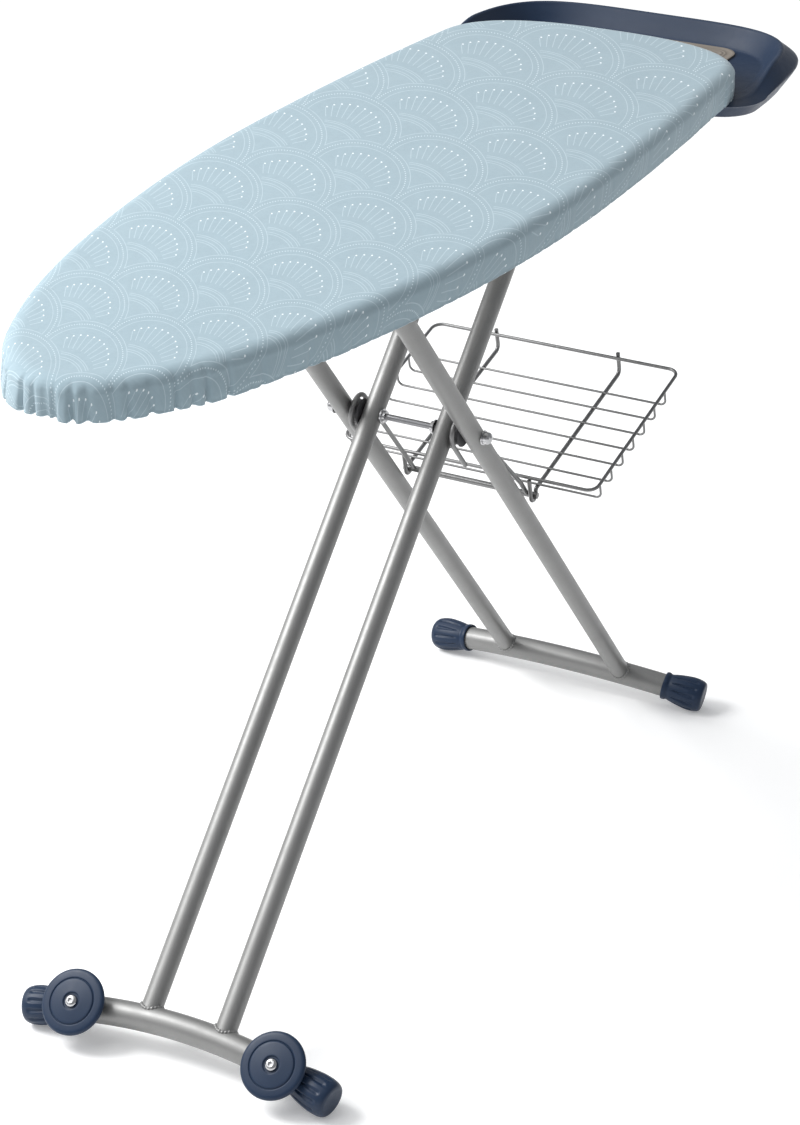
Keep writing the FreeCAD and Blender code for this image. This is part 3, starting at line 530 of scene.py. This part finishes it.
def even_outline(count):
    """Evenly spaced points round the board, with outward normals, from the nose tip."""
    turn = np.linspace(0, math.pi, 4001)
    middle = (NOSE_X + REAR_X) / 2
    xs = middle - BOARD_LENGTH / 2 * np.cos(turn)
    side = np.array([(x, half_width(x)) for x in xs])
    loop = np.concatenate([side, side[-2:0:-1] * (1, -1)])
    points, around = evenly(np.concatenate([loop, loop[:1]]), count)
    ahead = np.roll(points, -2, axis=0) - np.roll(points, 2, axis=0)
    normals = np.stack([-ahead[:, 1], ahead[:, 0]], axis=1)
    normals /= np.linalg.norm(normals, axis=1)[:, None]
    return points, normals, around


def near(share, centre, width):
    """1 at a place round the outline, falling to 0 over the width; both are shares of a turn."""
    away = np.abs((share - centre + 0.5) % 1 - 0.5)
    return np.exp(-(away / width) ** 2)


def gathers(count, around):
    """How strongly the skirt puckers round the board, and the puckers themselves."""
    rng = np.random.default_rng(11)
    share = np.arange(count) / count
    amount = 0.12 + 1.30 * near(share, 0.0, 0.066) + 0.55 * near(share, 0.5, 0.036)
    for corner in (0.5 - 0.062, 0.5 + 0.062):
        amount = amount + 0.65 * near(share, corner, 0.026)
    wave = np.zeros(count)
    sharp = np.zeros(count)
    place = 0.0
    while place < around:
        spacing = rng.uniform(0.012, 0.034)
        depth = rng.uniform(0.25, 1.15)
        width = rng.uniform(0.0016, 0.0042)
        away = (share * around - place + around / 2) % around - around / 2
        sharp -= depth * np.exp(-(away / width) ** 2)
        wave += rng.uniform(-0.5, 0.5) * np.exp(-(away / (spacing * 1.3)) ** 2)
        place += spacing
    return amount, sharp, wave


def cover():
    """Printed cotton cover: level top, soft rounded edge, gathered skirt and drawn-in hem."""
    count = COVER_COUNT
    points, normals, around = even_outline(count)
    amount, sharp, wave = gathers(count, around)
    spine = board_spine(points)
    folds = np.maximum(amount * (0.0042 + 0.0068 * sharp + 0.0036 * wave), -0.0010)
    rings, flats = [], []

    def ring(places, z, flat):
        rings.append(np.column_stack([places, np.broadcast_to(z, count)]))
        flats.append(flat)

    edge = points - normals * (EDGE_IN - CLOTH_PROUD)
    for step in range(22):
        k = (step / 22) ** 0.8
        places = spine + k * (edge - spine)
        sag = 0.0007 * (1 - k) * np.cos(places[:, 0] * 21.0)
        ring(places, CLOTH_TOP + sag * 0.5, places)
    run = 0.0
    last = (0.0, 0.0)
    edge_steps = 9
    for step in range(edge_steps + 1):
        turn = math.pi / 2 * step / edge_steps
        out, down = EDGE_IN * math.sin(turn), EDGE_DOWN * (1 - math.cos(turn))
        run += math.hypot(out - last[0], down - last[1])
        last = (out, down)
        fade = (step / edge_steps) ** 2
        pucker = 0.50 * fade * folds
        ring(edge + normals * (out + pucker)[:, None], CLOTH_TOP - down, edge + normals * run)
    skirt = edge + normals * EDGE_IN
    skirt_steps = 11
    top = CLOTH_TOP - EDGE_DOWN
    scallop = amount * (0.0032 * sharp + 0.0022 * wave)
    bottom = WORK_HEIGHT - SKIRT_DEPTH - 0.0005 - 0.5 * scallop
    for step in range(1, skirt_steps + 1):
        k = step / skirt_steps
        grow = 0.30 + 0.70 * min(1.0, 1.25 * k)
        pull = -0.0022 * k ** 2
        pucker = grow * folds
        run_here = run + k * (top - WORK_HEIGHT + SKIRT_DEPTH)
        ring(skirt + normals * (pull + pucker + 0.0012 * amount * k)[:, None],
             top + k * (bottom - top), edge + normals * run_here)
    hem = [(0.0004, -0.0012), (-0.0008, -0.0024), (-0.0030, -0.0028), (-0.0060, -0.0020),
           (-HEM_TURN, -0.0008)]
    for inward, drop in hem:
        run_here += 0.0022
        ring(skirt + normals * (-0.0022 + folds + 0.0012 * amount + inward)[:, None],
             bottom + drop, edge + normals * run_here)
    vertices = np.concatenate(rings)
    flat = np.concatenate(flats)
    faces = [face[::-1] for face in grid_faces(len(rings), count)]
    piece = make("board_cover", vertices, faces, "board", "cover_cloth", ["cover"])
    store_print(piece, flat)
    merge_close(piece, MERGE)
    thicken = piece.modifiers.new("cloth", "SOLIDIFY")
    thicken.thickness = CLOTH_THICK
    thicken.offset = -1.0
    return piece


def store_print(piece, flat):
    """Keeps each vertex's place on the flat cloth, for the weave and for the print."""
    mesh = piece.data
    cloth = mesh.attributes.new("cloth", "FLOAT_VECTOR", "POINT")
    fans = mesh.attributes.new("print", "FLOAT_VECTOR", "POINT")
    basis = np.array([FAN_ALONG, FAN_ACROSS]).T
    offset = flat - np.array(FAN_CENTRE)
    size = 1 + FAN_GROWTH * offset[:, 0]
    even = np.column_stack([np.log(size) / FAN_GROWTH, offset[:, 1] / size])
    steps = even @ np.linalg.inv(basis).T
    flat3 = np.column_stack([flat, np.zeros(len(flat))])
    fan3 = np.column_stack([steps[:, 0] * FAN_RISE, steps[:, 1] * FAN_PITCH, np.zeros(len(flat))])
    cloth.data.foreach_set("vector", flat3.astype(np.float32).ravel())
    fans.data.foreach_set("vector", fan3.astype(np.float32).ravel())


def merge_close(piece, distance):
    work = bmesh.new()
    work.from_mesh(piece.data)
    bmesh.ops.remove_doubles(work, verts=work.verts, dist=distance)
    bmesh.ops.recalc_face_normals(work, faces=work.faces)
    work.to_mesh(piece.data)
    work.free()


def underlay():
    """Felt pad under the cover: crowned, with its edge rolled over the steel top."""
    count = UNDERLAY_COUNT
    points, normals, _ = even_outline(count)
    spine = board_spine(points)
    under = 0.0019
    edge = points - normals * (EDGE_IN - CLOTH_PROUD)
    rings = []

    def ring(places, z):
        rings.append(np.column_stack([places, np.broadcast_to(z, count)]))

    for step in range(14):
        k = (step / 14) ** 0.8
        ring(spine + k * (edge - spine), CLOTH_TOP - under)
    for step in range(8):
        turn = math.pi / 2 * step / 8
        out = (EDGE_IN - under) * math.sin(turn)
        down = (EDGE_DOWN - under) * (1 - math.cos(turn))
        ring(edge + normals * out, CLOTH_TOP - under - down)
    lip = edge + normals * (EDGE_IN - under - 0.0004)
    ring(lip, MESH_TOP - 0.0032)
    ring(lip - normals * 0.0010, MESH_TOP - 0.0044)
    ring(lip - normals * 0.0018, MESH_TOP - 0.0030)
    ring(lip - normals * 0.0020, MESH_TOP + 0.0002)
    for step in range(1, 12):
        k = 1 - (step / 11) ** 1.2
        ring(spine + k * (lip - normals * 0.0030 - spine), MESH_TOP + 0.0002)
    vertices = np.concatenate(rings)
    faces = [face[::-1] for face in grid_faces(len(rings), count)]
    piece = make("felt_underlay", vertices, faces, "board", "felt", ["underlay_pad"])
    merge_close(piece, MERGE)
    return piece


# Iron rest

def tray_path(count):
    """Points and outward normals along the closed rim, from the middle of the front edge round the rear."""
    span = TRAY_FRONT_X + TRAY_LENGTH - TRAY_TURN_X - TRAY_TURN_R
    start = TRAY_TURN_X + TRAY_TURN_R
    angles = np.linspace(0, math.pi / 2, 801)
    xs = start + span * np.sin(angles)
    share = (xs - TRAY_FRONT_X) / TRAY_LENGTH
    ys = TRAY_HALF * (1 - np.minimum(share, 1.0) ** TRAY_SQUARE) ** (1 / TRAY_SQUARE)
    turn = np.linspace(0, math.pi / 2, 60)
    corner = np.stack([start - TRAY_TURN_R * np.cos(turn), ys[0] - TRAY_TURN_R * (1 - np.sin(turn))], axis=1)
    front = np.stack([np.full(60, TRAY_TURN_X), np.linspace(0, corner[0, 1], 60, endpoint=False)], axis=1)
    left = np.concatenate([front, corner, np.stack([xs, ys], axis=1)[1:]])
    path = np.concatenate([left, left[::-1][1:] * (1, -1)])[::-1]
    points, _ = evenly(path, count)
    ahead = np.roll(points, -1, axis=0) - np.roll(points, 1, axis=0)
    normals = np.stack([ahead[:, 1], -ahead[:, 0]], axis=1)
    normals /= np.linalg.norm(normals, axis=1)[:, None]
    return points, normals


def iron_rest():
    """Rounded plastic tray: floor, sloped inner wall, rolled rim and bulging outer wall."""
    count = 360
    points, normals = tray_path(count)
    rim, floor = TRAY_RIM_Z, TRAY_FLOOR_Z
    section = [(-0.0290, floor), (-0.0262, floor + 0.0004), (-0.0236, floor + 0.0016),
               (-0.0214, floor + 0.0040), (-0.0130, floor + 0.0150), (-0.0062, rim - 0.0034),
               (-0.0046, rim - 0.0013), (-0.0030, rim - 0.0003), (-0.0014, rim),
               (0.0002, rim - 0.0005), (0.0014, rim - 0.0018), (0.0030, rim - 0.0040),
               (0.0096, rim - 0.0110), (0.0136, rim - 0.0158), (0.0153, rim - 0.0186), (0.0157, rim - 0.0206),
               (0.0148, rim - 0.0232), (0.0100, rim - 0.0320), (0.0040, rim - 0.0420), (0.0016, rim - 0.0458),
               (-0.0006, rim - 0.0468), (-0.0024, rim - 0.0462), (-0.0034, rim - 0.0440),
               (-0.0110, rim - 0.0350), (-0.0180, floor - 0.0050), (-0.0222, floor - 0.0028),
               (-0.0290, floor - 0.0028)]
    section = smooth_profile(section, 3)
    rise = np.clip((points[:, 0] - TRAY_LOW_X) / (TRAY_HIGH_X - TRAY_LOW_X), 0, 1)
    rise = TRAY_LIP + (1 - TRAY_LIP) * rise * rise * (3 - 2 * rise)
    flare = 1 + np.abs(normals[:, 0] * normals[:, 1])
    rings = []
    middle = TRAY_FRONT_X + 0.115
    inner_ring = points + normals * section[0][0]
    spine = np.stack([np.clip(inner_ring[:, 0], TRAY_TURN_X + 0.06, middle), np.zeros(count)], axis=1)
    for step in range(9):
        places = spine + step / 9 * (inner_ring - spine)
        rings.append(np.column_stack([places, np.full(count, floor)]))
    for out, z in section:
        height = floor + (z - floor) * rise if z > floor else np.full(count, z)
        reach = out * flare if out > 0 else np.full(count, out)
        rings.append(np.column_stack([points + normals * reach[:, None], height]))
    for step in range(8, -1, -1):
        places = spine + step / 9 * (inner_ring - spine)
        rings.append(np.column_stack([places, np.full(count, floor - 0.0028)]))
    vertices = np.concatenate(rings)
    faces = grid_faces(len(rings), count)
    piece = make("iron_rest_shell", vertices, faces, "board", "navy_plastic", ["iron_rest_tray"])
    merge_close(piece, MERGE)
    return piece


def iron_mat():
    """Heat-proof mat with a raised border and low ridges."""
    low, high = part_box("iron_rest_mat")
    centre = (low + high) / 2
    half_x, half_y = (high.x - low.x) / 2, (high.y - low.y) / 2
    corner = MAT_CORNER
    count = 144

    def outline(inset):
        result = []
        for index in range(count):
            angle = 2 * math.pi * (index + 0.5) / count
            cos, sin = math.cos(angle), math.sin(angle)
            reach = corner - inset
            result.append((centre.x + math.copysign(half_x - corner, cos) + reach * cos,
                           centre.y + math.copysign(half_y - corner, sin) + reach * sin))
        return result

    base, top = low.z + 0.0001, high.z - 0.0006
    section = [(0.0002, base), (0.0, base + 0.0006), (0.0, top), (0.0004, high.z - 0.0001), (0.0012, high.z),
               (0.0030, high.z), (0.0038, high.z - 0.0001), (0.0044, top), (0.0100, top)]
    for ridge in (0.0125, 0.0175):
        section += [(ridge - 0.0011, top), (ridge - 0.0006, top + 0.0004), (ridge + 0.0006, top + 0.0004),
                    (ridge + 0.0011, top)]
    section += [(0.0240, top)]
    vertices = []
    for inset, z in section:
        vertices += [(x, y, z) for x, y in outline(inset)]
    faces = grid_faces(len(section), count)
    last = (len(section) - 1) * count
    faces.append(tuple(range(last, last + count)))
    faces.append(tuple(reversed(range(count))))
    piece = make("heat_mat", vertices, faces, "board", "mat_rubber", ["iron_rest_mat"], smooth=False)
    merge_close(piece, 0.00001)
    piece.data.shade_smooth()
    sharpen(piece, 40)
    return piece


def sharpen(piece, angle):
    """Keeps edges sharper than the angle crisp."""
    for index, value in edge_angles(piece.data):
        piece.data.edges[index].use_edge_sharp = value > math.radians(angle)


def edge_angles(mesh):
    work = bmesh.new()
    work.from_mesh(mesh)
    work.edges.ensure_lookup_table()
    result = [(edge.index, edge.calc_face_angle(0.0)) for edge in work.edges]
    work.free()
    return result


# Feet

def foot_radius(half, arch):
    return (half ** 2 + arch ** 2) / (2 * arch)


def bar_values(inner):
    """Half length and arch of a foot bar, and its distance from the scissor pivot."""
    return (FRONT_HALF, FRONT_ARCH, INNER_LOWER) if inner else (REAR_HALF, REAR_ARCH, OUTER_LOWER)


def foot_cap(name, node, inner, side):
    """Barrel cap with a flared collar, long teardrop flutes and a rounded end."""
    half, arch, drop = bar_values(inner)
    radius = foot_radius(half, arch)
    middle = math.asin(half / radius) - CAP_LENGTH / 2 / radius
    flutes = 12

    def flute(height, angle, r):
        along = (height - 0.0125) / 0.037
        if not 0 < along < 1:
            return r
        wide = 0.16 + 0.55 * along ** 1.3 * (1 - along) ** 0.22
        turn = ((angle * flutes / (2 * math.pi)) + 0.5) % 1 - 0.5
        share = abs(turn) / (0.5 * min(0.86, wide * 1.35))
        if share >= 1:
            return r
        ease = min(1.0, along / 0.16, (1 - along) / 0.12)
        return r - 0.0019 * ease * (0.5 + 0.5 * math.cos(math.pi * share)) ** 0.7

    outside = smooth_profile([(0.0003, 0.0178), (0.0, 0.0184), (0.0008, 0.0192), (0.0026, 0.0195),
                              (0.0050, 0.0192), (0.0066, 0.0184), (0.0086, 0.0181), (0.0120, 0.0190),
                              (0.0180, 0.0204), (0.0260, 0.0218), (0.0340, 0.0229), (0.0410, 0.0233),
                              (0.0480, 0.0228),
                              (0.0525, 0.0219), (0.0552, 0.0208), (0.0568, 0.0196), (0.0576, 0.0180),
                              (0.0580, 0.0160), (0.0579, 0.0120), (0.0577, 0.0040)], 5)
    mouth = [(0.0100, BAR_R + 0.0002), (0.0010, BAR_R + 0.0002), (0.0003, BAR_R + 0.0006)]
    profile = mouth + outside
    vertices, faces = turned(profile, 240, flute)
    place = (leg_frame(inner) @ Matrix.Scale(side, 4, (0, 1, 0)) @ Matrix.Translation((0, 0, -drop - radius))
             @ Matrix.Rotation(-middle, 4, "X") @ Matrix.Translation((0, -CAP_LENGTH / 2, radius))
             @ Matrix.Rotation(-math.pi / 2, 4, "X"))
    vertices = [place @ v for v in vertices]
    piece = make(name, vertices, faces, "inner_legs" if inner else "outer_legs", "navy_plastic", [node])
    merge_close(piece, FINE_MERGE)
    return piece


def wheel(name, side):
    """Thin moulded wheel with a rounded tread, a ring groove and a low dome."""
    face = WHEEL_THICK
    profile = smooth_profile([(0.0018, 0.0040), (0.0018, 0.0100), (0.0020, 0.0120), (0.0002, 0.0134),
                              (0.0, 0.0160), (0.0002, 0.0300), (0.0002, 0.0352), (0.0010, 0.0378),
                              (0.0026, 0.0391),
                              (0.0042, 0.0395), (0.0058, 0.0390), (0.0072, 0.0376), (face, 0.0356),
                              (face + 0.0004, 0.0330), (face + 0.0007, 0.0296), (face + 0.0006, 0.0284),
                              (face - 0.0001, 0.0277), (face - 0.0001, 0.0272), (face + 0.0008, 0.0264),
                              (face + 0.0013, 0.0252), (face + 0.0020, 0.0190), (face + 0.0026, 0.0125),
                              (face + 0.0026, 0.0108), (face + 0.0020, 0.0100), (face + 0.0011, 0.0097),
                              (face + 0.0010, 0.0040)], 5)
    vertices, faces = turned(profile, 160)
    place = wheel_place(side)
    node = f"wheel_{name.split('_')[1]}"
    piece = make(name, [place @ v for v in vertices], faces, node, "navy_plastic", [node])
    merge_close(piece, FINE_MERGE)
    return piece


def wheel_place(side):
    """Matrix that sets a shape turned about Z on a wheel's seat, facing forward."""
    radius = foot_radius(FRONT_HALF, FRONT_ARCH)
    drop = radius - math.sqrt(radius ** 2 - WHEEL_Y ** 2)
    return leg_frame(True) @ along_axis((-WHEEL_BACK, side * WHEEL_Y, -INNER_LOWER - drop), (-1, 0, 0))


def wheel_bolt(name, side):
    """Button-head screw with a six-sided socket, on a dark washer."""
    seat = WHEEL_THICK + 0.0013

    def socket(height, angle, r):
        if r > 0.0031:
            return r
        turn = (angle + math.pi / 6) % (math.pi / 3) - math.pi / 6
        return r / math.cos(turn) if r > 0.001 else r

    profile = [(-0.012, 0.0028), (seat, 0.0028), (seat, 0.0071), (seat + 0.0005, 0.0075),
               (seat + 0.0012, 0.0075), (seat + 0.0024, 0.0070), (seat + 0.0034, 0.0060),
               (seat + 0.0041, 0.0046), (seat + 0.0044, 0.0034), (seat + 0.0043, 0.0026),
               (seat + 0.0038, 0.00245), (seat + 0.0020, 0.0024), (seat + 0.0016, 0.0010)]
    vertices, faces = turned(profile, 96, socket)
    place = wheel_place(side)
    label = name.split("_")[2]
    piece = make(name, [place @ v for v in vertices], faces, "inner_legs", "chrome", [f"wheel_screw_{label}"])
    sharpen(piece, 38)
    return piece


def pivot_spools():
    """Rounded plastic spools between the legs, inside the loops of the rack's hooks."""
    start = INNER_Y + TUBE_R + 0.0003
    length = OUTER_Y - TUBE_R - 0.0001 - start
    half = [(0.0, 0.0150), (0.0006, 0.0166), (0.0018, 0.0168), (0.0026, 0.0160), (0.0034, 0.0150)]
    profile = half + [(length - along, radius) for along, radius in reversed(half)]
    vertices, faces = [], []
    for side in (1, -1):
        spool, spool_faces = turned(profile, 48)
        first = len(vertices)
        vertices += [Vector((PIVOT.x + v.x, side * (start + v.z), PIVOT.z + v.y)) for v in spool]
        faces += [tuple(index + first for index in face) for face in spool_faces]
    piece = make("pivot_spools", vertices, faces, "outer_legs", "black_plastic", ["pivot_spacers"])
    merge_close(piece, MERGE)
    return piece


def weld_beads(inner):
    """Ripple of weld where each leg tube meets its foot bar."""
    half, arch, drop = bar_values(inner)
    leg_y = INNER_Y if inner else OUTER_Y
    radius = foot_radius(half, arch)
    around, ring = 160, 14
    vertices, faces = [], []
    for side in (1, -1):
        start = len(vertices)
        for index in range(around):
            angle = 2 * math.pi * index / around
            cos, sin = math.cos(angle), math.sin(angle)
            x, y = TUBE_R * cos, side * leg_y + TUBE_R * sin
            z = -drop - (radius - math.sqrt(radius ** 2 - y ** 2)) + math.sqrt(BAR_R ** 2 - x ** 2)
            size = 0.0021 + 0.0003 * math.sin(angle * 23) + 0.0002 * math.sin(angle * 7 + side)
            for step in range(ring):
                turn = 2 * math.pi * step / ring
                out, up = size * math.cos(turn), size * math.sin(turn)
                vertices.append(Vector((x + out * cos, y + out * sin, z + up)))
        for a, b, c, d in grid_faces(around, ring):
            faces.append((start + a, start + d, start + c, start + b))
        last = start + (around - 1) * ring
        for step in range(ring):
            after = (step + 1) % ring
            faces.append((last + step, start + step, start + after, last + after))
    place = leg_frame(inner)
    name, body = ("front_foot_welds", "inner_legs") if inner else ("rear_foot_welds", "outer_legs")
    return make(name, [place @ v for v in vertices], faces, body, "leg_paint")


# Camera, light and floor

CAMERA_AT = Vector((-2.9973, -1.5619, 2.0699))
CAMERA_AZIMUTH = -62.37
CAMERA_ELEVATION = 26.27
CAMERA_ROLL = 0.22
CAMERA_LENS = 97.71
SKY_STRENGTH = 0.36
KEY_POWER = 78
KEY_SIZE = 1.5
KEY_AT = (-1.0, 1.9, 2.4)
KEY_TOWARDS = (-0.25, 0.0, 0.8)
PANEL_POWER = 1.95
PANEL_SPREAD = math.radians(80)
PANEL_TOWARDS = Vector((0.22, -0.72, -1.0))
FLOOR_GLOW = 0.22
FLOOR_HALF = 24.0
FLOOR_BELOW = 0.0005        # so that it doesn't fight with the feet


def camera():
    azimuth, elevation = math.radians(CAMERA_AZIMUTH), math.radians(CAMERA_ELEVATION)
    back = Vector((math.sin(azimuth) * math.cos(elevation), -math.cos(azimuth) * math.cos(elevation),
                   math.sin(elevation)))
    right = (-back).cross(Vector((0, 0, 1))).normalized()
    up = right.cross(-back)
    roll = math.radians(CAMERA_ROLL)
    right, up = (math.cos(roll) * right + math.sin(roll) * up, math.cos(roll) * up - math.sin(roll) * right)
    data = bpy.data.cameras.new("camera")
    data.lens = CAMERA_LENS
    data.sensor_width = 36.0
    data.clip_start, data.clip_end = 0.1, 100.0
    eye = bpy.data.objects.new("camera", data)
    eye.matrix_world = Matrix((right, up, back)).transposed().to_4x4()
    eye.location = CAMERA_AT
    bpy.context.scene.collection.objects.link(eye)
    bpy.context.scene.camera = eye


def lamp(name, at, towards, size, power):
    data = bpy.data.lights.new(name, "AREA")
    data.shape = "DISK"
    data.size = size
    data.energy = power
    light = bpy.data.objects.new(name, data)
    light.location = at
    light.rotation_mode = "QUATERNION"
    light.rotation_quaternion = (Vector(towards) - Vector(at)).to_track_quat("-Z", "Y")
    bpy.context.scene.collection.objects.link(light)


def studio():
    world = bpy.data.worlds.new("studio")
    world.use_nodes = True
    world.node_tree.nodes["Background"].inputs["Color"].default_value = (0.95, 0.97, 1.0, 1.0)
    world.node_tree.nodes["Background"].inputs["Strength"].default_value = SKY_STRENGTH
    bpy.context.scene.world = world
    lamp("key", KEY_AT, KEY_TOWARDS, KEY_SIZE, KEY_POWER)
    sun = bpy.data.lights.new("sky_panel", "SUN")
    sun.energy = PANEL_POWER
    sun.angle = PANEL_SPREAD
    above = bpy.data.objects.new("sky_panel", sun)
    above.rotation_mode = "QUATERNION"
    above.rotation_quaternion = PANEL_TOWARDS.to_track_quat("-Z", "Y")
    bpy.context.scene.collection.objects.link(above)
    bpy.context.scene.view_settings.view_transform = "Standard"


def pale_floor():
    n = Nodes("floor", Roughness=0.9, Specular_IOR_Level=0.1, Emission_Color=(1.0, 1.0, 1.0, 1.0),
              Emission_Strength=FLOOR_GLOW)
    n.colour(n.mix(n.noise(n.place(), 1.2, 2.0), (0.88, 0.88, 0.88, 1.0), (0.91, 0.91, 0.91, 1.0)))
    size = FLOOR_HALF
    mesh = bpy.data.meshes.new("floor")
    corners = [(-size, -size, 0), (size, -size, 0), (size, size, 0), (-size, size, 0)]
    mesh.from_pydata(corners, [], [(0, 1, 2, 3)])
    mesh.materials.append(n.material)
    floor = bpy.data.objects.new("floor", mesh)
    floor.location.z = -FLOOR_BELOW
    bpy.context.scene.collection.objects.link(floor)


camera()
studio()
pale_floor()
dress_frame()
underlay()
cover()
iron_rest()
iron_mat()
for label, side in (("left", 1), ("right", -1)):
    foot_cap(f"front_{label}_cap", f"front_cap_{label}", True, side)
    foot_cap(f"rear_{label}_cap", f"rear_cap_{label}", False, side)
    wheel(f"rolling_{label}_wheel", side)
    wheel_bolt(f"wheel_bolt_{label}", side)
weld_beads(True)
weld_beads(False)
pivot_spools()
